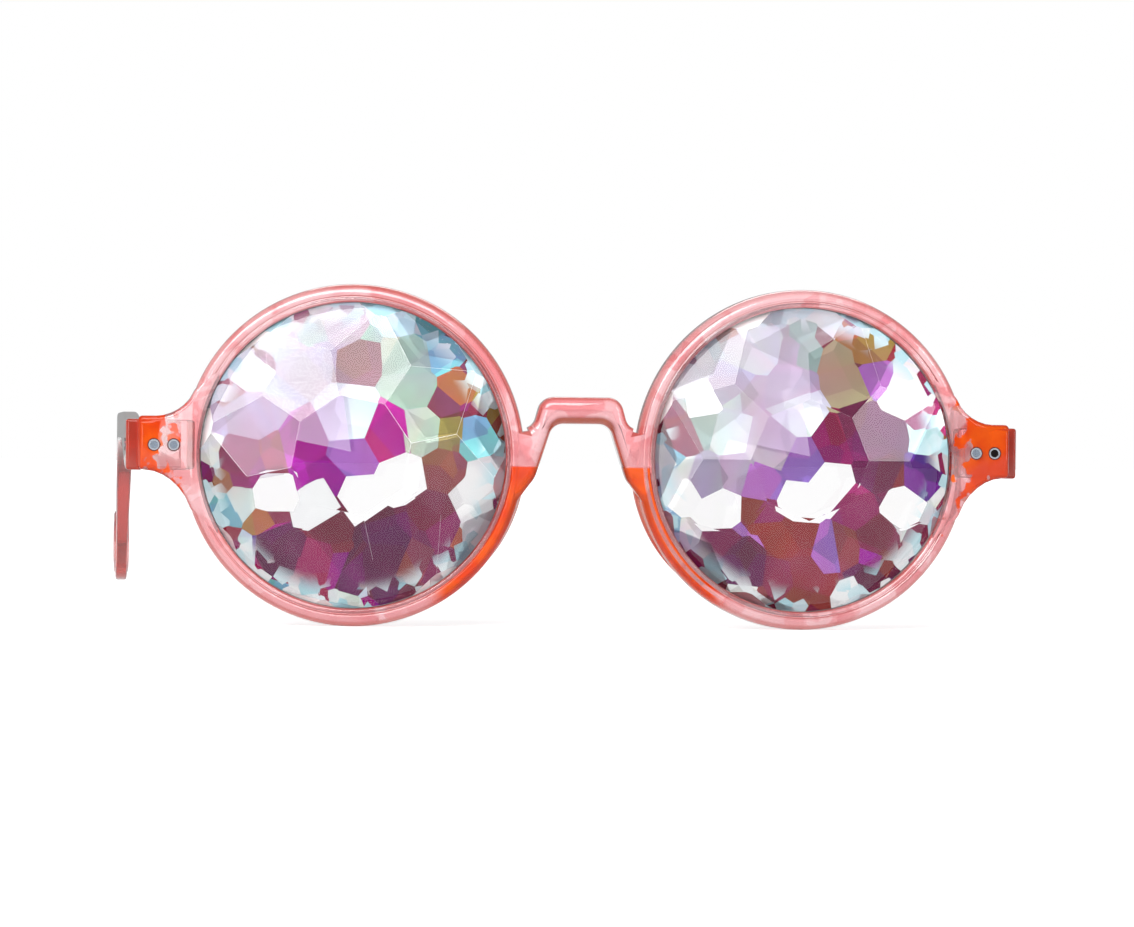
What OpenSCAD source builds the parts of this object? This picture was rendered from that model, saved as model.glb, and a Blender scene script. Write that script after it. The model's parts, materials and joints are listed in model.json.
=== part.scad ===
// Round kaleidoscope party glasses: a one-piece front with two faceted crystal lenses and two folding temples.
// Millimetres. +X is the wearer's left to right as seen from in front, +Y runs back to the ears, +Z is up.
// The temples are drawn open. The origin is below the middle of the object, level with the rims' lowest points.

/* [Front] */
// Distance between the two lens centres
lens_spacing = 74; // [70:1:84]
// How far each rim turns back from the flat, in degrees
wrap_angle = 6.5; // [2:0.5:9]
// Outer radius of a rim
rim_r = 28; // [26:0.5:29]
// Width of a rim's ring, seen from in front
rim_w = 3; // [2.4:0.1:3.6]
// Depth of the rims from front to back
rim_depth = 4.6; // [4:0.2:6]
// Radius that rounds the rims' outer edges
rim_edge_r = 0.9; // [0.4:0.1:1.5]
// Height of the bridge's top above the lens centres
bridge_top = 9.9; // [8:0.1:12]
// Height of the arch's crown above the lens centres
arch_top = 5.5; // [4:0.1:7]
// Depth of the bridge from front to back
bridge_depth = 4.4; // [3.5:0.1:5]
// How far the end piece reaches out past the rim
end_reach = 7.1; // [6.8:0.1:9]
// Height of the end piece
end_h = 8.9; // [8:0.1:10]

/* [Lenses] */
// How far the lens's table stands in front of its girdle
crown_h = 4.5; // [3:0.25:6]
// Radius of the circle through the table's corners, as a share of the lens radius
table_share = 0.4; // [0.3:0.02:0.5]
// Number of facets around the table
facets = 8; // [6:1:12]
// Depth of the lens below its girdle
lens_body_h = 4.2; // [3:0.1:5]
// How far the left lens is turned in its rim, in degrees
left_lens_turn = 33; // [0:1:44]
// How far the right lens is turned in its rim, in degrees
right_lens_turn = 0; // [0:1:44]

/* [Temples] */
// Length from the hinge axis to the centre of the loop
loop_reach = 134.3; // [125:0.1:142]
// How far the loop's centre lies below the hinge's middle
loop_drop = 18.6; // [14:0.1:20]
// Thickness of the temple
temple_t = 2.8; // [2.4:0.1:3]
// Height of the temple at the hinge
head_h = 8.4; // [8:0.1:9]
// Height of the temple at its middle
bar_h = 5; // [4:0.1:6]
// Radius of the loop's hole
loop_hole_r = 4.1; // [3:0.1:5]
// Outer radius of the loop
loop_r = 7.1; // [6.5:0.1:8]
// Slope of the tip below the ear bend, in degrees
tip_slope = 41; // [35:1:45]

/* [Hinges] */
// Distance of each hinge axis in from the end piece's outer end
hinge_inset = 0.9; // [0.8:0.1:1.2]
// Distance of the hinge axis behind the lenses' middle plane
hinge_y = 9; // [8.8:0.1:10]
// Height of the hinge's middle above the lens centres
hinge_rise = 1.4; // [0:0.1:2]
// Outer radius of a knuckle
knuckle_r = 0.9; // [0.8:0.05:1]
// Height of one knuckle
knuckle_h = 1; // [0.8:0.05:1.2]
// Gap between neighbouring knuckles
knuckle_gap = 0.05; // [0.03:0.01:0.1]
// Number of knuckles
knuckles = 7; // [5:2:7]
// Radius of the hinge screw's shank
screw_r = 0.45; // [0.4:0.05:0.5]
// Running clearance around the hinge screw
screw_clear = 0.04; // [0.02:0.01:0.08]
// Thickness of a hinge leaf's plate
leaf_t = 0.7; // [0.6:0.05:0.8]
// Distance of the front's outer rivets from the hinge axis
rivet_inset = 1.7; // [1.6:0.1:2]
// Distance between the two rivets of a leaf
rivet_pitch = 3.2; // [3:0.1:3.6]
// Radius of a rivet's shank
rivet_r = 0.6; // [0.5:0.05:0.7]
// Radius of a rivet's visible head
rivet_head_r = 1.05; // [0.9:0.05:1.2]

/* [Hidden] */
$fn = 96;

// Larger than any piece of the front is deep or high
big = 100;
plastic = "salmon";
crystal = "lavender";
metal = "silver";

// Places across the front: lens centres, the rims' nearest points, the outer ends and the hinges
lens_x = lens_spacing / 2;
nasal_x = lens_x - rim_r;
end_x = lens_x + rim_r + end_reach;
hinge_x = end_x - hinge_inset;

// Lenses and their grooves, in a rim's own frame: its axis is Z, and its front is at +Z
sight_r = rim_r - rim_w;
groove_depth = 0.6;
groove_w = 1.7;
lens_clear = 0.05;
lens_r = sight_r - lens_clear;
girdle_z = 1.2;
star_share = 0.7;
star_inset = 0.15;
half_facet = 180 / facets;
table_z = girdle_z + crown_h;
table_mid_r = table_share * lens_r * cos(half_facet);
main_drop = crown_h / (lens_r - table_mid_r);
star_rise = main_drop * lens_r * (1 - star_share * cos(half_facet));
star_cut_r = (lens_r - star_inset) * cos(half_facet);
star_drop = star_rise / (star_cut_r - star_share * lens_r);

// Bridge: its front and back are two cylinders about an upright axis far behind it
bridge_bend_r = 60;
bridge_y = bridge_bend_r * cos(wrap_angle) - (lens_x - bridge_bend_r * sin(wrap_angle)) * tan(wrap_angle);

// Bridge from in front, with X measured from the rims' nearest points
shoulder_inset = 2.6;
shoulder_r = 2.6;
bridge_leg = [[-1.4, 5.6], [-0.6, 5], [1.8, 4], [2.4, -7]];
bridge_foot = [[0.7, -7.2], [-0.4, -4.9], [-1.5, -3.5], [-2.2, -1.4]];
arch_inset = 4.4;
arch_r = min(2.2, 0.48 * (nasal_x - arch_inset));

// Nose pads, each a hull of balls: how far they lie in from the rim's edge and behind its back, and their height
nose_ball_r = 1.3;
nose_balls = [[0, -0.57, -4.6], [1.2, 0.87, -13], [1.4, -1.05, -13]];

// End piece in the plan view: it turns further back than the rim and ends in a flat pad for the hinge
pad_gap = 1.9;
pad_y = hinge_y - pad_gap;
pad_margin = 0.4;
pad_lap = 1;
pad_end_gap = 0.2;
bend_x = lens_x + rim_r - 0.5;
end_bend = 14;
upper_fillet_r = 7;
lower_fillet_r = 9.5;
end_corner_r = 1;
end_lift = 0.3;
end_top = hinge_rise + end_lift + end_h / 2;
end_bottom = hinge_rise + end_lift - end_h / 2;

// Leaves and their comb of knuckles
pitch = knuckle_h + knuckle_gap;
leaf_h = knuckles * pitch - knuckle_gap;
plate_gap = 0.25;
web_gap = 0.15;
pocket_clear = 0.3;
pocket_r = knuckle_r + pocket_clear;
leaf_clear = 0.05;
screw_head_r = 0.85;
screw_head_h = 0.45;
slot_w = 0.25;
slot_depth = 0.2;

// Rivets: a head let into the plastic, a shank, and an upset end that stands on the leaf
front_rivet_x = [hinge_x - rivet_inset - rivet_pitch, hinge_x - rivet_inset];
front_leaf_end = 1.75;
front_leaf_len = rivet_inset + rivet_pitch + front_leaf_end - plate_gap;
temple_rivet_inset = 2.7;
temple_rivet_s = [pocket_r + temple_rivet_inset, pocket_r + temple_rivet_inset + rivet_pitch];
temple_leaf_end = 2.1;
temple_leaf_len = temple_rivet_s[1] + temple_leaf_end;
pad_side = 0.95;
pad_x = hinge_x - plate_gap - front_leaf_len - pad_side;
rivet_clear = 0.03;
head_sunk = 0.35;
head_proud = 0.12;
upset_r = 0.75;
upset_t = 0.2;
dish_r = 0.7;
dish_depth = 0.1;

// Temple outline, with s measured back from the hinge axis and z up from the hinge's middle
butt_s = -1.8;
taper_s = 60;
bar_mid_z = 3.1;
bar_top = bar_mid_z + bar_h / 2;
bar_bottom = bar_mid_z - bar_h / 2;
ear_upper_r = 40;
ear_lower_r = 25;
loop_c = [loop_reach, -loop_drop];

// The object's ends, from which its middle follows
front_y = -table_z * cos(wrap_angle) - table_share * lens_r * sin(wrap_angle);
rear_y = hinge_y + loop_reach + loop_r;
middle_y = (front_y + rear_y) / 2;

// Points along an arc of radius r about c, from angle a to angle b
function arc(c, r, a, b, n = 10) =
    [for (i = [0 : n]) let (t = a + (b - a) * i / n) c + r * [cos(t), sin(t)]];

// A round corner of radius r where the line from p0 to p1 turns towards p2
function corner(p0, p1, p2, r, n = 10) =
    let (
        u = (p0 - p1) / norm(p0 - p1),
        v = (p2 - p1) / norm(p2 - p1),
        half = acos(u * v) / 2,
        c = p1 + (u + v) / norm(u + v) * r / sin(half),
        s = p1 + u * r / tan(half) - c,
        e = p1 + v * r / tan(half) - c,
        a = atan2(s.y, s.x),
        turn = atan2(s.x * e.y - s.y * e.x, s * e)
    ) arc(c, r, a, a + turn, n);

// The same points on the other side of the middle, in the opposite order
function mirrored(points) = [for (i = [len(points) - 1 : -1 : 0]) [-points[i].x, points[i].y]];

// Front face of the end piece at a distance x from the middle
function end_front_y(x) =
    (min(x, bend_x) - lens_x) * tan(wrap_angle) - rim_depth / 2 / cos(wrap_angle)
    + max(x - bend_x, 0) * tan(end_bend);

// Back face of a rim at a distance x from the middle, and the rim's nasal edge at a height z
function rim_back_y(x) = (x - lens_x) * tan(wrap_angle) + rim_depth / 2 / cos(wrap_angle);
function rim_edge_x(z) = lens_x - sqrt(rim_r * rim_r - z * z);

module place() {
    translate([0, -middle_y, rim_r]) children();
}

// Each side's pieces are drawn on the right, and the left ones are their mirror image
module side(left) {
    place() if (left) mirror([1, 0, 0]) children();
    else children();
}

// From a rim's own frame to its place on the right
module at_rim() {
    translate([lens_x, 0, 0]) rotate([0, 0, wrap_angle]) rotate([90, 0, 0]) children();
}

// From the hinge's own frame, with its axis along Z, to its place on the right
module at_hinge() {
    translate([hinge_x, hinge_y, hinge_rise]) children();
}

// Extrudes an outline of X and Z from y0 to y1
module along_y(y0, y1) {
    translate([0, y1, 0]) rotate([90, 0, 0]) linear_extrude(y1 - y0) children();
}

// Extrudes an outline of Y and Z from x0 to x1
module along_x(x0, x1) {
    translate([x0, 0, 0]) rotate([90, 0, 90]) linear_extrude(x1 - x0) children();
}

// A ring whose two outer edges are round
module rim() {
    inner_r = sight_r - 0.5;
    flat_w = rim_r - rim_edge_r - inner_r;
    half = rim_depth / 2;
    rotate_extrude() {
        translate([inner_r, -half]) square([flat_w, rim_depth]);
        translate([inner_r, rim_edge_r - half]) square([rim_r - inner_r, rim_depth - 2 * rim_edge_r]);
        for (z = [rim_edge_r - half, half - rim_edge_r]) translate([rim_r - rim_edge_r, z]) circle(rim_edge_r);
    }
}

// What the lens takes out of a rim: the opening and the groove for its tongue
module lens_room() {
    translate([0, 0, -big / 2]) cylinder(r = sight_r, h = big);
    translate([0, 0, -groove_w / 2]) cylinder(r = sight_r + groove_depth, h = groove_w);
}

// The bridge from in front: a block with round shoulders over a keyhole arch, its legs running into the rims
module bridge_outline() {
    edge = [nasal_x, 0];
    leg = [for (p = bridge_leg) edge + p];
    foot = [for (p = bridge_foot) edge + p];
    top = corner([0, bridge_top], [nasal_x - shoulder_inset, bridge_top], leg[0], shoulder_r);
    arch = corner(foot[len(foot) - 1], [nasal_x - arch_inset, arch_top], [0, arch_top], arch_r);
    right = concat(top, leg, foot, arch);
    polygon(concat(right, mirrored(right)));
}

module bridge() {
    intersection() {
        along_y(-big / 2, big / 2) bridge_outline();
        translate([0, bridge_y, -big / 2]) difference() {
            cylinder(r = bridge_bend_r + bridge_depth / 2, h = big, $fn = 360);
            cylinder(r = bridge_bend_r - bridge_depth / 2, h = big, $fn = 360);
        }
    }
}

// A nose pad, moulded on behind the rim beside the arch
module nose_pad() {
    hull() for (b = nose_balls) {
        x = rim_edge_x(b.z) + b.x;
        translate([x, rim_back_y(x) + b.y, b.z]) sphere(nose_ball_r, $fn = 32);
    }
}

// The end piece from in front: two hollow curves that leave the rim's circle, and round outer corners
module end_outline() {
    end_u = end_x - lens_x;
    up = end_top + upper_fillet_r;
    down = lower_fillet_r - end_bottom;
    up_u = sqrt(pow(rim_r + upper_fillet_r, 2) - up * up);
    down_u = sqrt(pow(rim_r + lower_fillet_r, 2) - down * down);
    root_r = (rim_r + sight_r) / 2;
    up_angle = atan2(up, up_u);
    down_angle = atan2(down, down_u);
    top_corner = [end_u, end_top];
    bottom_corner = [end_u, end_bottom];
    translate([lens_x, 0]) polygon(concat(
        [root_r * [cos(up_angle), sin(up_angle)]],
        arc([up_u, up], upper_fillet_r, 180 + up_angle, 268),
        corner([up_u, end_top], top_corner, bottom_corner, end_corner_r),
        corner(top_corner, bottom_corner, [down_u - lower_fillet_r, end_bottom], end_corner_r),
        arc([down_u, -down], lower_fillet_r, 100, 180 - down_angle),
        [root_r * [cos(down_angle), -sin(down_angle)]]
    ));
}

// The end piece from above: the rim's depth, turned back past bend_x and cut flat where the hinge lies
module end_plan() {
    root_x = lens_x + sight_r;
    pad_end_x = bend_x + (pad_y - end_front_y(bend_x) - rim_depth) / tan(end_bend);
    polygon([
        [root_x, end_front_y(root_x)],
        [bend_x, end_front_y(bend_x)],
        [end_x, end_front_y(end_x)],
        [end_x, pad_y],
        [pad_end_x, pad_y],
        [bend_x, end_front_y(bend_x) + rim_depth],
        [root_x, end_front_y(root_x) + rim_depth]
    ]);
}

module end_piece() {
    intersection() {
        along_y(-big / 2, big / 2) end_outline();
        translate([0, 0, -big / 2]) linear_extrude(big) end_plan();
    }
    pad_front_y = end_front_y(bend_x) + pad_lap;
    translate([pad_x, pad_front_y, hinge_rise - leaf_h / 2 - pad_margin])
        cube([end_x - pad_x - pad_end_gap, pad_y - pad_front_y, leaf_h + 2 * pad_margin]);
}

module front_frame() {
    color(plastic) place() difference() {
        union() {
            bridge();
            for (m = [0, 1]) mirror([m, 0, 0]) {
                at_rim() rim();
                end_piece();
                nose_pad();
            }
        }
        for (m = [0, 1]) mirror([m, 0, 0]) {
            at_rim() lens_room();
            for (x = front_rivet_x) front_rivet_room(x);
        }
    }
}

// A crystal: a round disc with a tongue, whose front is ground to a flat table, mains and star facets
module lens(turn) {
    color(crystal) at_rim() rotate([0, 0, turn]) {
        difference() {
            translate([0, 0, girdle_z - lens_body_h]) cylinder(r = lens_r, h = lens_body_h + crown_h);
            for (k = [0 : facets - 1]) {
                facet_cut((k + 0.5) * 2 * half_facet, lens_r, main_drop);
                facet_cut(k * 2 * half_facet, star_cut_r, star_drop);
            }
        }
        tongue_w = groove_w - 2 * lens_clear;
        translate([0, 0, -tongue_w / 2]) cylinder(r = sight_r + groove_depth - lens_clear, h = tongue_w);
    }
}

// Takes away what is outside a facet that meets the girdle at radius r and rises inwards by drop a millimetre
module facet_cut(angle, r, drop) {
    rotate([0, 0, angle]) translate([r, 0, girdle_z]) rotate([0, atan(drop), 0])
        translate([-big, -big, 0]) cube([2 * big, 2 * big, big]);
}

// The temple from the side: a bar that deepens to the hinge and ends in a broad sloping tip around the loop
module temple_outline() {
    down = [cos(tip_slope), -sin(tip_slope)];
    out = [sin(tip_slope), cos(tip_slope)];
    upper_end = loop_c + loop_r * out;
    lower_end = loop_c - loop_r * out;
    upper_turn = upper_end + down * (bar_top - upper_end.y) / down.y;
    lower_turn = lower_end + down * (bar_bottom - lower_end.y) / down.y;
    steps = 8;
    taper = [for (i = [0 : steps]) let (f = i / steps) [f * taper_s, (1 - cos(180 * f)) / 2]];
    polygon(concat(
        [[butt_s, -head_h / 2], [butt_s, head_h / 2]],
        [for (t = taper) [t.x, head_h / 2 + (bar_top - head_h / 2) * t.y]],
        corner([taper_s, bar_top], upper_turn, upper_end, ear_upper_r),
        arc(loop_c, loop_r, 90 - tip_slope, -90 - tip_slope, 24),
        corner(lower_end, lower_turn, [taper_s, bar_bottom], ear_lower_r),
        [for (i = [steps : -1 : 0]) let (t = taper[i]) [t.x, (bar_bottom + head_h / 2) * t.y - head_h / 2]]
    ));
}

module temple() {
    color(plastic) at_hinge() difference() {
        along_x(0, temple_t) difference() {
            temple_outline();
            translate(loop_c) circle(loop_hole_r);
        }
        translate([0, 0, -big / 2]) cylinder(r = pocket_r, h = big);
        translate([-big, 0, -leaf_h / 2 - leaf_clear])
            cube([big + leaf_t, temple_leaf_len + leaf_clear, leaf_h + 2 * leaf_clear]);
        for (s = temple_rivet_s) {
            along_x(-1, temple_t + 1) translate([s, 0]) circle(rivet_r + rivet_clear);
            along_x(temple_t - head_sunk, temple_t + 1) translate([s, 0]) circle(rivet_head_r + rivet_clear);
        }
    }
}

// Every second knuckle of the hinge, counted from the bottom, each with the web that joins it to its plate
module knuckle_row(first, web_min, web_max) {
    for (k = [first : 2 : knuckles - 1]) translate([0, 0, k * pitch - leaf_h / 2]) {
        cylinder(r = knuckle_r, h = knuckle_h);
        translate([web_min.x, web_min.y, 0]) cube([web_max.x - web_min.x, web_max.y - web_min.y, knuckle_h]);
    }
}

module screw_bore() {
    translate([0, 0, -big / 2]) cylinder(r = screw_r + screw_clear, h = big);
}

module front_leaf() {
    color(metal) at_hinge() difference() {
        union() {
            translate([-plate_gap - front_leaf_len, -pad_gap, -leaf_h / 2]) cube([front_leaf_len, leaf_t, leaf_h]);
            knuckle_row(0, [-knuckle_r, -pad_gap], [-web_gap, 0]);
        }
        screw_bore();
        for (x = front_rivet_x) translate([x - hinge_x, 0, 0])
            along_y(-big / 2, big / 2) circle(rivet_r + rivet_clear);
    }
}

module temple_leaf() {
    color(metal) at_hinge() difference() {
        union() {
            translate([0, pocket_r, -leaf_h / 2]) cube([leaf_t, temple_leaf_len - pocket_r, leaf_h]);
            knuckle_row(1, [0, 0], [leaf_t, pocket_r]);
        }
        screw_bore();
        for (s = temple_rivet_s) along_x(-1, temple_t) translate([s, 0]) circle(rivet_r + rivet_clear);
    }
}

// The screw that pins the knuckles together, its slotted head on the top one
module hinge_screw() {
    color(metal) at_hinge() difference() {
        union() {
            translate([0, 0, -leaf_h / 2]) cylinder(r = screw_r, h = leaf_h);
            translate([0, 0, leaf_h / 2]) cylinder(r = screw_head_r, h = screw_head_h);
        }
        translate([-big / 2, -slot_w / 2, leaf_h / 2 + screw_head_h - slot_depth]) cube([big, slot_w, big]);
    }
}

// A rivet along Z: its dished head's face is at 0, and its leaf's far face is at length
module rivet(length) {
    color(metal) difference() {
        union() {
            cylinder(r = rivet_head_r, h = head_sunk + head_proud);
            cylinder(r = rivet_r, h = length);
            translate([0, 0, length]) cylinder(r = upset_r, h = upset_t);
        }
        cylinder(r = dish_r, h = dish_depth);
    }
}

module front_rivet(x) {
    head_y = end_front_y(x) - head_proud;
    translate([x, head_y, hinge_rise]) rotate([-90, 0, 0]) rivet(pad_y + leaf_t - head_y);
}

module front_rivet_room(x) {
    translate([x, end_front_y(x) + head_sunk, hinge_rise]) rotate([90, 0, 0])
        cylinder(r = rivet_head_r + rivet_clear, h = big);
    translate([x, 0, hinge_rise]) along_y(-big / 2, big / 2) circle(rivet_r + rivet_clear);
}

module temple_rivet(s) {
    at_hinge() translate([temple_t + head_proud, s, 0]) rotate([0, -90, 0]) rivet(temple_t + head_proud);
}

front_frame();
side(true) lens(left_lens_turn);  // left_lens
side(false) lens(right_lens_turn);  // right_lens
side(true) temple();  // left_temple
side(false) temple();  // right_temple
side(true) front_leaf();  // left_hinge_front_leaf
side(false) front_leaf();  // right_hinge_front_leaf
side(true) temple_leaf();  // left_hinge_temple_leaf
side(false) temple_leaf();  // right_hinge_temple_leaf
side(true) hinge_screw();  // left_hinge_screw
side(false) hinge_screw();  // right_hinge_screw
side(true) front_rivet(front_rivet_x[0]);  // left_front_rivet_inner
side(true) front_rivet(front_rivet_x[1]);  // left_front_rivet_outer
side(false) front_rivet(front_rivet_x[0]);  // right_front_rivet_inner
side(false) front_rivet(front_rivet_x[1]);  // right_front_rivet_outer
side(true) temple_rivet(temple_rivet_s[0]);  // left_temple_rivet_front
side(true) temple_rivet(temple_rivet_s[1]);  // left_temple_rivet_rear
side(false) temple_rivet(temple_rivet_s[0]);  // right_temple_rivet_front
side(false) temple_rivet(temple_rivet_s[1]);  // right_temple_rivet_rear
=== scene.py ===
import bpy, bmesh, math, random, json
from mathutils import Matrix, Vector


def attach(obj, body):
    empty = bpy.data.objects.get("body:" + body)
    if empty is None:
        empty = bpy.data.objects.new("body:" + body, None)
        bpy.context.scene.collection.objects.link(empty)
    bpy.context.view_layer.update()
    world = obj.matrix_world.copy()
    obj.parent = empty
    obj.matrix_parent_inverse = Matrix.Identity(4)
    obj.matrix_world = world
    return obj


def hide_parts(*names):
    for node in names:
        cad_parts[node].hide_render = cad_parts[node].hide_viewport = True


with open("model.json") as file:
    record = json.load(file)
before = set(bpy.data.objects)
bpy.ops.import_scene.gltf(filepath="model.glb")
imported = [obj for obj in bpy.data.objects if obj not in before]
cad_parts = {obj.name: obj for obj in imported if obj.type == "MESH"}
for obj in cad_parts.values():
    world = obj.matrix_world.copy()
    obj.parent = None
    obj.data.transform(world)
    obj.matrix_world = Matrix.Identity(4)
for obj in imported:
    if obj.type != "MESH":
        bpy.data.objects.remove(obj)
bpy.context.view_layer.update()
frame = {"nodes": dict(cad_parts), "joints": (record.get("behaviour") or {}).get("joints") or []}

# The front: one moulding of clear coral plastic, with two round rims and a raised lip round each lens, a
# keyhole bridge, end pieces that turn back to carry the hinges, and a nose rest behind each rim.
# It is drawn in millimetres from the middle between the lenses, and seated by one matrix.
hinge_back, hinge_up = 9.0, 1.4
lens_x = 37.0
wrap, end_turn = math.radians(6.5), math.radians(14)
bend_x, bend_half = 64.5, 1.5
rim_r, sight_r, inner_r = 28.0, 25.0, 25.02
rim_half, end_t, bridge_t = 2.3, 4.6, 4.4
shank_room, head_room, head_sunk = 0.63, 1.08, 0.35
rivet_xs = (66.3, 69.5)
upright = Matrix.Rotation(math.radians(90), 4, "X")
unturned = Matrix.Identity(4)
flip = Matrix.Scale(-1, 4, (1, 0, 0))
hinge_place = next(j for j in frame["joints"] if j["name"] == "right_temple_fold")["pos_m"]
seat = Matrix.Translation((0, hinge_place[1] - hinge_back / 1000, hinge_place[2] - hinge_up / 1000)) \
    @ Matrix.Scale(0.001, 4)
at_rim = Matrix.Translation((lens_x, 0, 0)) @ Matrix.Rotation(wrap, 4, "Z") @ upright


def rounded_face(bm, corners, segments=6):
    """A flat face through a few corners, each with the length that its rounding takes off."""
    verts = [bm.verts.new((across, 0, up)) for across, up, _ in corners]
    bm.faces.new(verts)
    for vert, (_, _, cut) in zip(verts, corners):
        if cut:
            bmesh.ops.bevel(bm, geom=[vert], offset=cut, offset_type="OFFSET", segments=segments,
                            profile=0.5, affect="VERTICES", clamp_overlap=False, material=-1)


def ring(section, segments, steps):
    """A closed ring, turned about Z from its rounded section."""
    bm = bmesh.new()
    rounded_face(bm, section, segments)
    bmesh.ops.delete(bm, geom=bm.faces[:], context="FACES_ONLY")
    bmesh.ops.spin(bm, geom=bm.verts[:] + bm.edges[:], cent=(0, 0, 0), axis=(0, 0, 1), dvec=(0, 0, 0),
                   angle=math.tau, steps=steps, use_merge=True, use_duplicate=False)
    bmesh.ops.remove_doubles(bm, verts=bm.verts[:], dist=1e-4)
    return bm


def all_of(bm):
    return bm.verts[:] + bm.edges[:] + bm.faces[:]


def pulled_out(bm, way):
    """Extrudes the whole sheet by a vector."""
    drawn = bmesh.ops.extrude_face_region(bm, geom=bm.faces[:])["geom"]
    bmesh.ops.translate(bm, verts=[g for g in drawn if isinstance(g, bmesh.types.BMVert)], vec=way)
    bmesh.ops.recalc_face_normals(bm, faces=bm.faces[:])


def edges_at(bm, y):
    """The edges that lie in the flat face at this depth."""
    return [e for e in bm.edges if all(abs(v.co.y - y) < 0.01 for v in e.verts)]


def soften(bm, edges, radius, segments, clamp):
    bmesh.ops.bevel(bm, geom=edges, offset=radius, offset_type="OFFSET", segments=segments, profile=0.5,
                    affect="EDGES", clamp_overlap=clamp, material=-1)


def slice_x(bm, places):
    """Rows of vertices across a part, where it will bend or thin."""
    for x in places:
        bmesh.ops.bisect_plane(bm, geom=all_of(bm), plane_co=(x, 0, 0), plane_no=(1, 0, 0), dist=1e-5)


def placed(part, matrix):
    """Moves a part to its place, with its skin still facing out."""
    part.transform(matrix)
    bmesh.ops.recalc_face_normals(part, faces=part.faces[:])
    if part.calc_volume(signed=True) < 0:
        bmesh.ops.reverse_faces(part, faces=part.faces[:])
    return part


def make(name, bm, place=seat):
    bm.transform(place)
    mesh = bpy.data.meshes.new(name)
    bm.to_mesh(mesh)
    bm.free()
    piece = bpy.data.objects.new(name, mesh)
    bpy.context.scene.collection.objects.link(piece)
    return piece


def moulded(name, parts, rooms):
    """Welds the parts of a moulding into one closed skin and takes the rooms out of it."""
    piece = make(name, parts[0])
    helpers = []
    for part, kind in [(part, "UNION") for part in parts[1:]] + [(room, "DIFFERENCE") for room in rooms]:
        helpers.append(make("part", part))
        join = piece.modifiers.new(kind.lower(), "BOOLEAN")
        join.operation, join.solver, join.object = kind, "MANIFOLD", helpers[-1]
    whole = bpy.data.meshes.new_from_object(piece.evaluated_get(bpy.context.evaluated_depsgraph_get()))
    piece.modifiers.clear()
    piece.data = whole
    whole.name = name
    for helper in helpers:
        bpy.data.objects.remove(helper)
    return piece


def smooth(piece):
    sharp_from = math.radians(30)
    piece.data.shade_smooth()
    piece.data.set_sharp_from_angle(angle=sharp_from)


def rim_part():
    """Radius, height and rounding round a rim: its back, outside, front slope, lip and the lens's groove."""
    groove_r, groove_half = 25.6, 0.85
    return ring([(inner_r, -groove_half, 0), (inner_r, -rim_half, 0.4), (rim_r, -rim_half, 0.9),
                 (rim_r, 1.45, 1.0), (27.0, 2.22, 0.4), (26.2, rim_half, 0.3), (25.95, 1.85, 0.2),
                 (25.75, 2.1, 0.2), (25.3, 2.1, 0.25), (inner_r, 1.5, 0.25), (inner_r, groove_half, 0),
                 (groove_r, groove_half, 0), (groove_r, -groove_half, 0)], segments=4, steps=120)


def end_front(x):
    """How far back the front face lies: along the rim's slope, then turned back round a soft bend."""
    past = x - bend_x
    turned = past if past > bend_half else 0 if past < -bend_half else (past + bend_half) ** 2 / (4 * bend_half)
    return (min(x, bend_x) - lens_x) * math.tan(wrap) - rim_half / math.cos(wrap) + turned * math.tan(end_turn)


def end_part():
    """An end piece, flared where it grows out of the rim; only its free edges are softened."""
    free_from = 62.4
    bm = bmesh.new()
    rounded_face(bm, [(59, 13.6, 0), (62.95, 10.52, 0.6), (64.72, 6.15, 4.4), (72.1, 6.15, 0.8),
                      (72.1, -2.75, 1.2), (65.68, -2.75, 6.1), (63.46, -9.15, 0.6), (59, -13, 0)])
    pulled_out(bm, (0, end_t, 0))
    for y, radius, segments in ((0, 0.75, 5), (end_t, 0.5, 3)):
        free = [e for e in edges_at(bm, y) if min(v.co.x for v in e.verts) > free_from]
        soften(bm, free, radius, segments, clamp=False)
    slice_x(bm, (62.5, 63, 63.5, 64, 64.5, 65, 65.5, 66, 68, 70))
    for v in bm.verts:
        v.co.y += end_front(v.co.x)
    return bm


def hinge_pad():
    """The block behind an end piece that the hinge's leaf lies on, with a ramp towards the lens."""
    x0, x1, height, ramp = 63.6, 71.9, 8.1, 3
    y0, y1 = end_front(bend_x) + 1, 7.1
    bm = bmesh.new()
    bmesh.ops.create_cube(bm, size=1, matrix=Matrix.Translation(((x0 + x1) / 2, (y0 + y1) / 2, hinge_up))
                          @ Matrix.Diagonal((x1 - x0, y1 - y0, height, 1)))
    foot = [v for v in bm.verts if v.co.x < bend_x and v.co.y < (y0 + y1) / 2]
    bmesh.ops.translate(bm, verts=foot, vec=(-ramp, 0, 0))
    soften(bm, bm.edges[:], 0.6, 4, clamp=True)
    return bm


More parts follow.
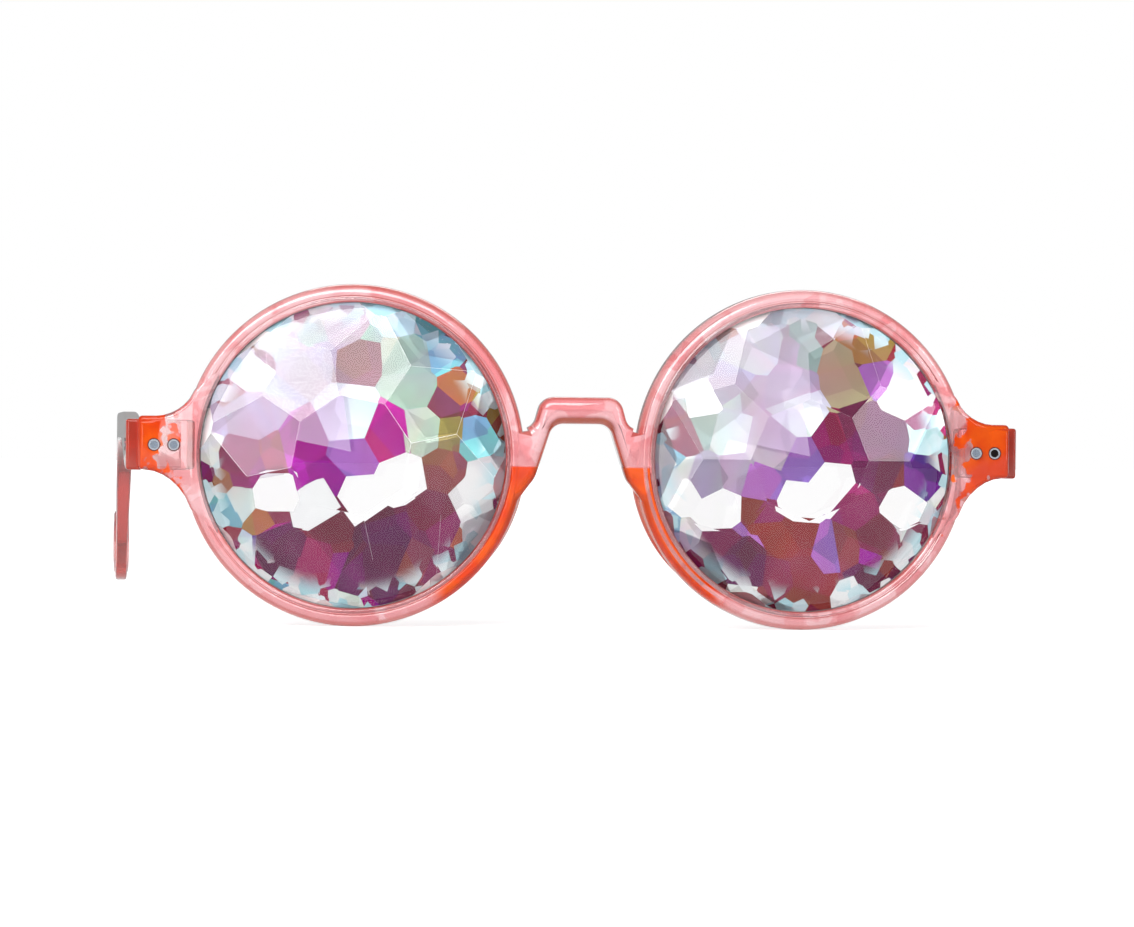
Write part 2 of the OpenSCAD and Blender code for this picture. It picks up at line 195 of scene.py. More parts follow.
def nose_rest():
    """A round section swept about the lens behind the rim's nasal side, level above and thinning below."""
    start, sweep = math.radians(178), math.radians(57)
    middle_r, behind, tuck = 26.6, -3.1, 1.2
    half_wide, half_deep, thinnest = 1.65, 2.7, 0.12
    level_top = -2.4
    bm = bmesh.new()
    bmesh.ops.create_circle(bm, cap_ends=False, segments=20, radius=1,
                            matrix=Matrix.Translation((middle_r, 0, behind)) @ upright
                            @ Matrix.Diagonal((half_wide, half_deep, 1, 1)))
    bmesh.ops.rotate(bm, verts=bm.verts[:], cent=(0, 0, 0), matrix=Matrix.Rotation(start, 3, "Z"))
    bmesh.ops.spin(bm, geom=bm.verts[:] + bm.edges[:], cent=(0, 0, 0), axis=(0, 0, 1), dvec=(0, 0, 0),
                   angle=sweep, steps=30, use_merge=False, use_duplicate=False)
    for v in bm.verts:
        angle = math.atan2(v.co.y, v.co.x) % math.tau
        along = min(1, max(0, (angle - start) / sweep))
        size = max(thinnest, (1 - along ** 4) ** 0.7)
        heart = Vector((math.cos(angle) * middle_r, math.sin(angle) * middle_r, behind))
        v.co = heart + Vector((0, 0, tuck * (1 - size))) + (v.co - heart) * size
    bmesh.ops.bisect_plane(bm, geom=all_of(bm), plane_co=(0, level_top, 0), plane_no=(0, 1, 0),
                           clear_outer=True, dist=1e-5)
    bmesh.ops.holes_fill(bm, edges=[e for e in bm.edges if e.is_boundary], sides=0)
    return bm


def bridge_part():
    """The keyhole arch, its free edges softened, curved forward on an arc between the rims."""
    free_to = 10.75
    arc_r, arc_heart = 60, 56.17
    half = [(6.4, 9.9, 1.9), (7.6, 5.6, 0.7), (8.4, 5, 0.3), (10.8, 4, 0), (12.6, -7.6, 0), (10.7, -7.8, 0),
            (8.5, -4.7, 1.2), (7.5, -3.5, 0.8), (6.8, -1.4, 0.9), (4.6, 5.5, 1.6)]
    bm = bmesh.new()
    rounded_face(bm, half + [(-x, z, cut) for x, z, cut in reversed(half)])
    pulled_out(bm, (0, bridge_t, 0))
    for y, radius, segments in ((0, 1.6, 7), (bridge_t, 0.6, 3)):
        free = [e for e in edges_at(bm, y) if max(abs(v.co.x) for v in e.verts) < free_to]
        soften(bm, free, radius, segments, clamp=False)
    slice_x(bm, range(-10, 11, 2))
    for v in bm.verts:
        layer_r = arc_r + bridge_t / 2 - v.co.y
        v.co.y = arc_heart - math.sqrt(layer_r ** 2 - v.co.x ** 2)
    return bm


def bore(radius, start, end, x, z, segments=32):
    """A round room along Y."""
    bm = bmesh.new()
    bmesh.ops.create_cone(bm, cap_ends=True, segments=segments, radius1=radius, radius2=radius,
                          depth=end - start, matrix=Matrix.Translation((x, (start + end) / 2, z)) @ upright)
    return bm


def rivet_room(x):
    """A sunk seat for a rivet's head in the front face, and its shank's hole through the end piece."""
    face, before, through = end_front(x), 3, 9
    return [bore(head_room, face - before, face + head_sunk, x, hinge_up),
            bore(shank_room, face, through, x, hinge_up)]


def lens_room():
    """The opening and the groove, cut again from all that the bridge and end pieces add to a rim."""
    groove_deep, groove_wide, through = 0.58, 1.68, 16
    rooms = []
    for radius, depth in ((sight_r, through), (sight_r + groove_deep, groove_wide)):
        rooms.append(bmesh.new())
        bmesh.ops.create_cone(rooms[-1], cap_ends=True, segments=120, radius1=radius, radius2=radius,
                              depth=depth)
    return rooms


parts, rooms = [placed(bridge_part(), unturned)], []
for hand in (unturned, flip):
    parts += [placed(rim_part(), hand @ at_rim), placed(end_part(), hand), placed(hinge_pad(), hand),
              placed(nose_rest(), hand @ at_rim)]
    rooms += [placed(room, hand @ at_rim) for room in lens_room()]
    for x in rivet_xs:
        rooms += [placed(room, hand) for room in rivet_room(x)]
front = moulded("coral_front", parts, rooms)
smooth(front)


def nodes_of(name):
    """A new material with its node tree and its shader."""
    material = bpy.data.materials.new(name)
    material.use_nodes = True
    return material, material.node_tree, material.node_tree.nodes["Principled BSDF"]


def fill(tree, node, **inputs):
    """Fills a node's sockets by name, each with a number, a colour or another node's output."""
    for name, value in inputs.items():
        socket = node.inputs[name.replace("_", " ")]
        if isinstance(value, bpy.types.NodeSocket):
            tree.links.new(value, socket)
        else:
            socket.default_value = (*value, 1) if socket.type == "RGBA" else value
    return node


def new_node(tree, kind, **inputs):
    return fill(tree, tree.nodes.new("ShaderNode" + kind), **inputs)


def figure(tree, kind, a, b=None):
    """One sum on numbers or outputs."""
    node = tree.nodes.new("ShaderNodeMath")
    node.operation = kind
    for socket, value in zip(node.inputs, (a, b)):
        if isinstance(value, bpy.types.NodeSocket):
            tree.links.new(value, socket)
        elif value is not None:
            socket.default_value = value
    return node.outputs[0]


def plus(tree, a, b):
    return figure(tree, "ADD", a, b)


def minus(tree, a, b):
    return figure(tree, "SUBTRACT", a, b)


def times(tree, a, b):
    return figure(tree, "MULTIPLY", a, b)


def without(tree, share):
    """What a share from 0 to 1 leaves."""
    return minus(tree, 1, share)


def size_of(tree, value):
    return figure(tree, "ABSOLUTE", value)


def distance(tree, a, b):
    return figure(tree, "SQRT", plus(tree, times(tree, a, a), times(tree, b, b)))


def smooth_step(tree, value, start, end):
    """1 where the value is past the end, 0 before the start, and a soft change between."""
    step = tree.nodes.new("ShaderNodeMapRange")
    step.interpolation_type = "SMOOTHSTEP"
    return fill(tree, step, Value=value, From_Min=start, From_Max=end).outputs["Result"]


def between(tree, value, low, high):
    """A value from 0 to 1 drawn out from low to high."""
    return new_node(tree, "MapRange", Value=value, To_Min=low, To_Max=high).outputs["Result"]


def tone(tree, share, first, second):
    """The first colour, with a share of the second."""
    mix = tree.nodes.new("ShaderNodeMix")
    mix.data_type = "RGBA"
    return fill(tree, mix, Factor=share, A=first, B=second).outputs["Result"]


def place_of(tree):
    """The place on the piece, in metres."""
    return new_node(tree, "TexCoord").outputs["Object"]


def axes_of(tree, vector):
    return new_node(tree, "SeparateXYZ", Vector=vector).outputs


def from_lens(tree, axes):
    """How far a place lies from the axis of its lens."""
    off = minus(tree, size_of(tree, axes["X"]), lens_x / 1000)
    return distance(tree, off, minus(tree, axes["Z"], seat.translation.z))


def coral_plastic(name, flat_way, glow_places, highlight_share, lit_places=None):
    """Clear coral plastic. Its edges get a painted shade of deeper colour, standing for the longer path of
    light where one looks into it lengthways. It has painted pale highlights, in pools placed at random and more
    at the lit places. The deep places are orange, partly the deeper plastic and partly a painted glow of light
    piped through it. Painted shade in brown falls on the bridge's legs and under its arch."""
    pale, full, highlight_pink, edge_shade = (0.9, 0.47, 0.5), (0.84, 0.31, 0.34), (1.0, 0.78, 0.82), (0.6, 0.11, 0.09)
    orange, deep_orange, orange_edge_shade = (0.95, 0.115, 0.0), (0.82, 0.055, 0.0), (0.7, 0.035, 0.0)
    leg_shade_brown, arch_shade_brown = (0.66, 0.08, 0.005), (0.28, 0.03, 0.005)
    material, tree, shader = nodes_of(name)
    place = place_of(tree)
    axes, facing = axes_of(tree, place), axes_of(tree, new_node(tree, "TexCoord").outputs["Normal"])
    flow = new_node(tree, "TexNoise", Vector=place, Scale=130, Detail=3).outputs["Fac"]
    swirl = smooth_step(tree, flow, 0.4, 0.62)
    # Painted shade: a deeper colour on faces turned away from the flat way, standing for the longer path of
    # light through the plastic at its edges.
    edge = smooth_step(tree, without(tree, size_of(tree, facing[flat_way])), 0.1, 0.4)
    off_bridge = smooth_step(tree, size_of(tree, axes["X"]), 0.0105, 0.013)

    # Painted highlights: pale pools placed at random by the clouds, fewer off the bridge and more at the lit
    # places, which also take off some of the painted shade at the edges.
    clouds = new_node(tree, "TexNoise", Vector=place, Scale=150, Detail=1, Distortion=0.6).outputs["Fac"]
    height = minus(tree, clouds, times(tree, off_bridge, 0.06))
    if lit_places:
        lit_share = lit_places(tree, axes)
        height = plus(tree, height, lit_share)
        edge = times(tree, edge, without(tree, times(tree, lit_share, 3)))
    painted_highlight = times(tree, smooth_step(tree, height, 0.475, 0.5), highlight_share)
    coral = tone(tree, edge, tone(tree, painted_highlight, tone(tree, swirl, pale, full), highlight_pink), edge_shade)
    # Orange at the deep places, partly the deeper plastic and partly a painted glow of light piped through it.
    glowing = tone(tree, edge, tone(tree, swirl, orange, deep_orange), orange_edge_shade)
    deep_glow = glow_places(tree, axes)
    colour = tone(tree, deep_glow, coral, glowing)

    # Painted shade: brown on the inward sides of the bridge's legs below its top, and a darker brown on the
    # faces turned down near the middle, under the arch.
    inward = times(tree, times(tree, facing["X"], axes["X"]), -1)
    below_top = without(tree, smooth_step(tree, axes["Z"], 0.0305, 0.0325))
    shaded_leg = times(tree, smooth_step(tree, inward, 0.002, 0.006), below_top)
    shaded_leg = times(tree, shaded_leg, without(tree, off_bridge))
    colour = tone(tree, times(tree, shaded_leg, 0.85), colour, leg_shade_brown)
    near_middle = without(tree, smooth_step(tree, size_of(tree, axes["X"]), 0.007, 0.0085))
    under_arch_shade = smooth_step(tree, times(tree, facing["Z"], -1), 0.05, 0.45)
    colour = tone(tree, times(tree, near_middle, under_arch_shade), colour, arch_shade_brown)

    waves = new_node(tree, "Bump", Height=flow, Strength=0.08, Distance=0.0003).outputs["Normal"]
    fill(tree, shader, Base_Color=colour, Roughness=between(tree, flow, 0.04, 0.12), IOR=1.49,
         Specular_IOR_Level=0.25, Transmission_Weight=minus(tree, 0.8, times(tree, deep_glow, 0.4)),
         Coat_Weight=without(tree, times(tree, deep_glow, 0.95)), Coat_Roughness=0.03, Normal=waves)
    body = new_node(tree, "VolumeAbsorption", Color=(0.91, 0.42, 0.4), Density=120)
    fill(tree, tree.nodes["Material Output"], Volume=body.outputs[0])
    return material


def front_glow(tree, axes):
    """Orange ends, mottled where they begin, and an orange nose rest that starts at a level line, partly the
    deeper plastic and partly a painted glow of light piped through it, with a painted highlight line kept coral
    round the right rim."""
    across = size_of(tree, axes["X"])
    blotch = new_node(tree, "TexNoise", Vector=place_of(tree), Scale=420, Detail=2).outputs["Fac"]
    wander = times(tree, minus(tree, blotch, 0.5), 0.02)
    lean = times(tree, axes["X"], 0.022)
    end = smooth_step(tree, plus(tree, plus(tree, across, wander), lean), 0.0655, 0.0668)
    radius = from_lens(tree, axes)
    # Painted highlight: a band round the right rim that is kept coral, clear of the orange.
    highlight_line = times(tree, smooth_step(tree, radius, 0.0261, 0.0263),
                 without(tree, smooth_step(tree, radius, 0.0266, 0.0269)))
    highlight_line = times(tree, highlight_line, smooth_step(tree, axes["X"], -0.001, 0.001))
    outer = minus(tree, smooth_step(tree, radius, 0.0256, 0.0258), times(tree, highlight_line, 0.85))
    nasal = without(tree, smooth_step(tree, across, 0.0215, 0.0255))
    low = without(tree, smooth_step(tree, axes["Z"], 0.0263, 0.0267))
    return figure(tree, "MAXIMUM", end, times(tree, times(tree, nasal, low), outer))


def front_lit(tree, axes):
    """Painted highlights, paler up the left of each rim and all round the right one, and less painted
    highlight, so darker, up the right of the left one."""
    middle = times(tree, figure(tree, "SIGN", axes["X"]), lens_x / 1000)
    up = times(tree, minus(tree, axes["Z"], seat.translation.z), 0.8)
    along = times(tree, minus(tree, axes["X"], middle), 0.6)
    off_bridge = smooth_step(tree, size_of(tree, axes["X"]), 0.0095, 0.016)
    up_left = times(tree, smooth_step(tree, minus(tree, up, along), 0.013, 0.024), off_bridge)
    up_right = times(tree, smooth_step(tree, plus(tree, up, along), 0.013, 0.024), off_bridge)
    on_right = smooth_step(tree, axes["X"], 0.008, 0.014)
    lit_share = plus(tree, times(tree, up_left, 0.12), times(tree, on_right, 0.06))
    less_lit = times(tree, without(tree, on_right), times(tree, up_right, 0.12))
    return minus(tree, lit_share, less_lit)


front.data.materials.clear()
front.data.materials.append(coral_plastic("coral_front_plastic", "Y", front_glow, 0.75, front_lit))
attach(front, "front")
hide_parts("front_frame")

# The lenses: thick crystals ground with a flat table, eight mains and eight star facets in front, and a
# shallow back of many small facets under a colour-changing mirror coat. A tongue round each one snaps
# into its rim's groove.
lens_r, tongue_r, tongue_half = 24.95, 25.55, 0.8
girdle, table, back = 1.2, 5.7, -3.0
back_crown = 0.85
up, below = Vector((0, 0, 1)), Vector((0, 0, -1))


def outward(angle):
    """The way out from the lens's axis at an angle."""
    return Vector((math.cos(angle), math.sin(angle), 0))


def grind(bm, point, normal):
    """Takes off what lies beyond a plane and closes the new facet."""
    cut = bmesh.ops.bisect_plane(bm, geom=all_of(bm), plane_co=point, plane_no=normal, clear_outer=True,
                                 dist=1e-4)["geom_cut"]
    border = [e for e in cut if isinstance(e, bmesh.types.BMEdge) and e.is_boundary]
    if len(border) > 2:
        bmesh.ops.contextual_create(bm, geom=border)


def in_order(faces):
    """The same order on every run, so that each facet keeps its own colour."""
    aslant = Vector((1, 0.617, 0.317))
    return sorted(faces, key=lambda f: f.calc_center_median().dot(aslant))


def crystal_blank():
    """The round blank, a hair thicker than the finished crystal behind."""
    spare = 0.01
    bm = bmesh.new()
    disc = bmesh.ops.create_circle(bm, cap_ends=True, segments=96, radius=lens_r)
    bmesh.ops.translate(bm, verts=disc["verts"], vec=(0, 0, back - spare))
    pulled_out(bm, (0, 0, table - back + spare))
    return bm


def grind_front(bm, turn):
    """Eight mains from the table to the girdle, and eight stars over the joints between them."""
    half, table_share, star_share = math.pi / 8, 0.4, 0.7
    main_drop = (table - girdle) / (lens_r - table_share * lens_r * math.cos(half))
    star_r = (lens_r - 0.15) * math.cos(half)
    star_drop = main_drop * lens_r * (1 - star_share * math.cos(half)) / (star_r - star_share * lens_r)
    for k in range(8):
        for angle, r, drop in (((2 * k + 1) * half, lens_r, main_drop), (2 * k * half, star_r, star_drop)):
            out = outward(angle + math.radians(turn))
            grind(bm, out * r + up * girdle, out * drop + up)


def grind_girdle(bm, chance, count=40):
    """Small uneven facets round the front of the girdle."""
    for k in range(count):
        out = outward(math.tau * (k + chance.uniform(-0.35, 0.35)) / count)
        grind(bm, out * lens_r + up * chance.uniform(0.3, 1.05), out * chance.uniform(0.75, 1.1) + up)


def grind_back(bm, chance):
    """Rings of small facets on the lightly crowned back, closer together towards the edge."""
    for ring_at, count in ((0.0, 1), (0.3, 6), (0.55, 11), (0.71, 19), (0.82, 28), (0.9, 36), (0.96, 42)):
        for k in range(count):
            out = outward(math.tau * (k + chance.uniform(-0.3, 0.3)) / count + ring_at * 5)
            share = ring_at + chance.uniform(-0.06, 0.06) if ring_at else 0
            slope = 2 * back_crown * share / lens_r * chance.uniform(0.8, 1.2)
            grind(bm, out * lens_r * share + up * (back + back_crown * share * share), out * slope + below)


def part_table(bm, right):
    """Parts the table in three, so that the painted reflection can end along straight lines."""
    top = max(bm.faces, key=lambda f: f.calc_center_median().z)
    for normal in ((0.2 * right, 1, 0), (1, 0.15 * right, 0)):
        bmesh.ops.bisect_plane(bm, geom=[top, *top.edges, *top.verts], plane_co=(0, 0.6, 0), plane_no=normal,
                               dist=1e-4)
        top = max(bm.faces, key=lambda f: (round(f.calc_center_median().z, 3), f.calc_center_median().y))


# Painted highlights round the girdle, and painted reflection tints on the upper facets.
girdle_highlights = [((0.4, 0.78, 0.9), 0.6), ((1, 1, 1), 0.85), ((0.4, 0.1, 0.12), 0.4), ((0.8, 0.95, 1), 0.35),
                ((1, 1, 1), 0.5)]
upper_reflection_tints = [(0.88, 0.8, 0.92), (0.82, 0.93, 0.9), (0.95, 0.96, 0.98), (0.9, 0.84, 0.92)]


def paint_reflection_bloom(bm, chance, right):
    """Painted reflections and highlights, shown as the coat's milky bloom: a tint and a milkiness for each
    facet of the front.
    """
    reflection_bloom = bm.loops.layers.float_color.new("reflection_bloom")
    for face in in_order(bm.faces):
        middle = face.calc_center_median()
        level, aside = middle.y / lens_r, middle.x * right / lens_r
        tint, milk = (1, 1, 1), chance.uniform(0, 0.01)
        on_girdle, on_table = 0.3 < face.normal.z < 0.85, face.normal.z > 0.995
        if on_girdle:
            tint, milk = chance.choice(girdle_highlights)
        elif on_table:
            if level > 0.03 and aside < 0.02:
                tint, milk = (0.86, 0.72, 0.95), 0.27
        elif face.normal.z > 0.3 and level > 0.1:
            tint = chance.choice(upper_reflection_tints)
            milk = 0.2 if aside < 0.05 else 0
        for loop in face.loops:
            loop[reflection_bloom] = (*tint, milk)
    return reflection_bloom


def highlight_arrises(bm, chance, reflection_bloom):
    """Narrow bevelled lines between the front facets, with painted highlights, whiter above than below."""
    arris_edges = [e for e in bm.edges if e.calc_length() > 0.5 and all(f.normal.z > 0.3 for f in e.link_faces)
            and e.link_faces[0].normal.dot(e.link_faces[-1].normal) < 0.999]
    arrises = bmesh.ops.bevel(bm, geom=arris_edges, offset=0.06, offset_type="OFFSET", segments=1, profile=0.5,
                              affect="EDGES", clamp_overlap=True, material=-1)["faces"]
    for face in in_order(arrises):
        milk = chance.choice([0.2, 0.5, 0.95] if face.calc_center_median().y > -3 else [0, 0.05, 0.3])
        for loop in face.loops:
            loop[reflection_bloom] = (0.97, 0.98, 1, milk)


def crystal_mesh(turn, seed, right):
    """One crystal, ground all over, with its painted reflections and highlights, in millimetres about its own
    axis.
    """
    chance = random.Random(seed)
    bm = crystal_blank()
    grind_front(bm, turn)
    grind_girdle(bm, chance)
    grind_back(bm, chance)
    bm.normal_update()
    part_table(bm, right)
    highlight_arrises(bm, chance, paint_reflection_bloom(bm, chance, right))
    return bm


def tongue_ring():
    """The ring round the crystal's edge that sits in the rim's groove."""
    root = lens_r + 0.01
    return ring([(root, -tongue_half, 0), (tongue_r, -tongue_half, 0), (tongue_r, tongue_half, 0),
                 (root, tongue_half, 0)], segments=1, steps=96)


# Film colours. The pale_films above and the deep_films below are partly painted light from above, the whites
# among the edge_films are painted highlights, and flash_white and the glint white are painted reflections of
# the lamps.
pale_films = [(0.46, 0.36, 0.56), (0.38, 0.55, 0.49), (0.74, 0.82, 0.84), (0.54, 0.42, 0.56),
              (0.45, 0.6, 0.58), (0.56, 0.5, 0.7)]
amber_films = [(0.4, 0.22, 0.08), (0.24, 0.05, 0.08), (0.52, 0.38, 0.24), (0.36, 0.52, 0.44), (0.56, 0.6, 0.5)]
heart_films = [(0.4, 0.0, 0.32), (0.5, 0.0, 0.22), (0.16, 0.01, 0.3), (0.24, 0.0, 0.09), (0.42, 0.16, 0.6)]
deep_films = [(0.24, 0.01, 0.06), (0.3, 0.02, 0.06), (0.4, 0.01, 0.15), (0.14, 0.0, 0.07), (0.34, 0.05, 0.05),
              (0.2, 0.0, 0.1)]
edge_films = [(0.25, 0.64, 0.78), (0.98, 1.0, 1.0), (0.7, 0.93, 1.0), (0.4, 0.02, 0.1), (0.95, 1.0, 1.0),
              (0.5, 0.2, 0.06), (0.3, 0.02, 0.12), (1.0, 1.0, 1.0)]
flash_white, glint_white = (1.25, 1.25, 1.22), (1.2, 1.25, 1.25)


def facets_at(bm, places, right):
    """The back facets nearest to some places, which are given in shares of the lens's radius."""
    backs = [f for f in bm.faces if f.normal.z < -0.5]
    middles = {f.index: f.calc_center_median().xy / lens_r for f in backs}
    return {min(middles, key=lambda index: (middles[index] - Vector((x * right, y))).length)
            for x, y in places}


def paint_film(bm, seed, right, tilt, flashes, glints):
    """Gives each back facet its own film colour: pale above, amber above to one side, magenta in the middle and
    wine red below, the pale and the dark partly painted light from above. Ice-blue shards run round the edge
    with painted white highlights among them, and a facet that flashes or glints gets painted white reflections
    of the lamps."""
    layer = bm.loops.layers.float_color.new("film")
    chance = random.Random(seed)
    bright, glinting = facets_at(bm, flashes, right), facets_at(bm, glints, right)
    for face in in_order(bm.faces):
        middle = face.calc_center_median() / lens_r
        r, aside = math.hypot(middle.x, middle.y), middle.x * right
        height = middle.y - tilt * aside + chance.uniform(-0.12, 0.12)
        edge_from = 0.72 if abs(middle.x) > 0.55 else 0.86
        edge_share = 0.85 if middle.y > -0.6 else 0.35
        if face.index in bright:
            choice = flash_white
        elif r > edge_from and chance.random() < edge_share:
            choice = chance.choice(edge_films)
        elif r < 0.42 and (height < 0.1 or aside > 0.02) or height < 0.1 and chance.random() < 0.2:
            choice = chance.choice(heart_films)
        elif height > 0.1 and aside > 0.05 and chance.random() < 0.75:
            choice = chance.choice(amber_films)
        elif height > 0.1:
            choice = chance.choice(pale_films)
        else:
            choice = chance.choice(deep_films)
        if face.index in glinting:
            choice = glint_white
        flash = 1 if face.index in bright else 0
        for loop in face.loops:
            loop[layer] = (*[min(1, part * chance.uniform(0.8, 1)) for part in choice], flash)


def painted(tree, layer):
    """The colours of a layer painted on the facets."""
    paint = tree.nodes.new("ShaderNodeAttribute")
    paint.attribute_name = layer
    return paint.outputs


def shard_lots(tree, scale):
    """Three random figures from 0 to 1 for each small shard."""
    cells = new_node(tree, "TexVoronoi", Vector=place_of(tree), Scale=scale).outputs["Color"]
    return new_node(tree, "SeparateColor", Color=cells).outputs


def crystal_glass():
    """Clear crystal; the facets turned up to the light carry a painted reflection of it, as a milky bloom of
    the coat.
    """
    material, tree, shader = nodes_of("crystal_glass")
    haze = new_node(tree, "TexNoise", Vector=place_of(tree), Scale=90).outputs["Fac"]
    reflection_bloom = painted(tree, "reflection_bloom")
    fill(tree, shader, Base_Color=tone(tree, times(tree, haze, 0.3), reflection_bloom["Color"], (1, 0.97, 1)), Roughness=0,
         Transmission_Weight=without(tree, reflection_bloom["Alpha"]), IOR=1.5, Specular_IOR_Level=0.3)
    return material


def ground_edge():
    """The girdle, where the coat ran over the ground edge and broke into ice-blue and red shards, and white
    ones that are painted highlights.
    """
    material, tree, shader = nodes_of("ground_edge")
    lot = shard_lots(tree, 330)
    cold = tone(tree, lot[0], (0.35, 0.72, 0.85), (1, 1, 1))
    red_share = smooth_step(tree, lot[1], 0.78, 0.79)
    fill(tree, shader, Base_Color=tone(tree, red_share, cold, (0.36, 0.07, 0.1)), Roughness=0.08, Metallic=0.65)
    return material


def mirror_film():
    """The mirror coat on the back: each facet's own colour, clouded and broken into shards, a few of them white
    as painted glints, with ice-blue chips towards the edge, the palest of them painted highlights; the flashing
    facets keep their painted white and mirror more."""
    material, tree, shader = nodes_of("mirror_film")
    paint, lot, chip = painted(tree, "film"), shard_lots(tree, 150), shard_lots(tree, 420)
    cloud = new_node(tree, "TexNoise", Vector=place_of(tree), Scale=120, Detail=2).outputs["Fac"]
    drift = times(tree, smooth_step(tree, cloud, 0.45, 0.75), 0.2)
    clouded = tone(tree, drift, paint["Color"], (0.42, 0.08, 0.26))
    broken = new_node(tree, "HueSaturation", Color=clouded, Value=plus(tree, times(tree, lot[0], 0.5), 0.7),
                      Hue=plus(tree, times(tree, lot[1], 0.08), 0.46)).outputs["Color"]
    colour = tone(tree, smooth_step(tree, lot[2], 0.965, 0.97), broken, (0.98, 1, 1))
    colour = tone(tree, paint["Alpha"], colour, paint["Color"])
    near_edge = smooth_step(tree, from_lens(tree, axes_of(tree, place_of(tree))), 0.0195, 0.0235)
    scattered = times(tree, near_edge, smooth_step(tree, chip[0], 0.55, 0.56))
    ice = tone(tree, chip[1], (0.45, 0.82, 0.9), (1, 1, 1))
    fill(tree, shader, Base_Color=tone(tree, scattered, colour, ice), Roughness=0.04,
         Metallic=plus(tree, times(tree, paint["Alpha"], 0.35), 0.65))
    return material


glass, film, edge = crystal_glass(), mirror_film(), ground_edge()
right_flashes = ((-0.02, -0.28), (0.21, -0.18), (-0.51, -0.32), (-0.75, -0.27), (-0.65, 0.35), (0.67, -0.3))
left_flashes = ((0.29, -0.16), (0.05, -0.25), (-0.49, -0.22))
left_glints = ((0.76, -0.08), (0.8, -0.3), (0.7, -0.45), (0.84, -0.15), (0.74, -0.6), (0.88, -0.4))
for name, turn, hand, right, seed, tilt, flashes, glints in (
        ("right", 0, unturned, 1, 3, 0.9, right_flashes, ()),
        ("left", 33, flip, -1, 8, 0, left_flashes, left_glints)):
    bm = crystal_mesh(turn, seed, right)
    bm.faces.index_update()
    paint_film(bm, seed, right, tilt, flashes, glints)
    lens = make(name + "_crystal", placed(bm, hand @ at_rim))
    for finish in (glass, film, edge):
        lens.data.materials.append(finish)
    for face in lens.data.polygons:
        face.material_index = 1 if face.normal.y > 0.5 else 2 if face.normal.y > -0.2 else 0
    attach(lens, "front")
    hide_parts(name + "_lens")
    tongue = make(name + "_crystal_tongue", placed(tongue_ring(), hand @ at_rim))
    smooth(tongue)
    tongue.data.materials.append(glass)
    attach(tongue, "front")

# The temples: flat bars of the same plastic, sawn to shape and tumbled round at the edges. Each deepens
# towards its hinge, bends down behind the ear and ends in an eye with a raised lip.
# Drawn with X for the distance behind the hinge and Z for the height above its middle.
hinge_x, temple_t = 71.2, 2.8
eye, eye_r, hole_r = Vector((134.3, 0, -18.6)), 7.1, 4.1
slope = math.radians(41)
down, out = Vector((math.cos(slope), 0, -math.sin(slope))), Vector((math.sin(slope), 0, math.cos(slope)))
rivets_behind = (3.9, 7.1)
lengthways = Matrix(((0, 1, 0, 0), (1, 0, 0, 0), (0, 0, 1, 0), (0, 0, 0, 1)))
at_hinge = Matrix.Translation((hinge_x, hinge_back, hinge_up)) @ lengthways


def bar_part():
    """The bar, with every edge softened, and thinned towards the eye."""
    start, start_half = -1.8, 4.2
    upper_z, lower_z = 5.6, 0.6
    neck_from, neck_to = 10.9, 49.1
    thin_from, thin_over, thinner = 104, 20, 0.22
    upper, lower = eye + out * eye_r, eye - out * eye_r
    upper_bend = upper + down * (upper_z - upper.z) / down.z
    lower_bend = lower + down * (lower_z - lower.z) / down.z
    upper_tip, lower_tip, tip_cut = upper + down * eye_r, lower + down * eye_r, eye_r - 0.02
    bm = bmesh.new()
    rounded_face(bm, [(start, start_half, 0.5), (neck_from, start_half, 9), (neck_to, upper_z, 9),
                      (upper_bend.x, upper_z, 14.9), (upper_tip.x, upper_tip.z, tip_cut),
                      (lower_tip.x, lower_tip.z, tip_cut), (lower_bend.x, lower_z, 9.3), (neck_to, lower_z, 9),
                      (neck_from, -start_half, 9), (start, -start_half, 0.5)], segments=16)
    pulled_out(bm, (0, temple_t, 0))
    for y in (0, temple_t):
        soften(bm, edges_at(bm, y), 0.75, 4, clamp=True)
    slice_x(bm, (100, 106, 112, 116, 120, 124))
    for v in bm.verts:
        share = min(1, max(0, (v.co.x - thin_from) / thin_over))
        kept = 1 - thinner * share * share * (3 - 2 * share)
        v.co.y = temple_t / 2 + (v.co.y - temple_t / 2) * kept
    return bm


def eye_lip():
    """The lip round the eye's hole, as thick as the bar is before it thins."""
    inside, outside, round_off = 3.6, 6.1, 0.95
    bm = ring([(inside, 0, 0), (inside, temple_t, 0), (outside, temple_t, round_off), (outside, 0, round_off)],
              segments=5, steps=64)
    bmesh.ops.rotate(bm, verts=bm.verts[:], cent=(0, 0, 0), matrix=Matrix.Rotation(math.radians(-90), 3, "X"))
    bmesh.ops.translate(bm, verts=bm.verts[:], vec=eye)
    return bm


def temple_rooms():
    """The eye's hole, the hinge's pocket, the leaf's bed and the rivets' holes."""
    before, through, pocket_r = -3, 6, 1.2
    pocket, bed = bmesh.new(), bmesh.new()
    bmesh.ops.create_cone(pocket, cap_ends=True, segments=48, radius1=pocket_r, radius2=pocket_r, depth=20)
    bmesh.ops.create_cube(bed, size=1, matrix=Matrix.Translation((4.125, -1.15, 0))
                          @ Matrix.Diagonal((10.25, 3.7, 7.4, 1)))
    rooms = [bore(hole_r, before, through, eye.x, eye.z, 64), pocket, bed]
    for x in rivets_behind:
        rooms += [bore(shank_room, before, through, x, 0), bore(head_room, temple_t - head_sunk, through, x, 0)]
    return rooms


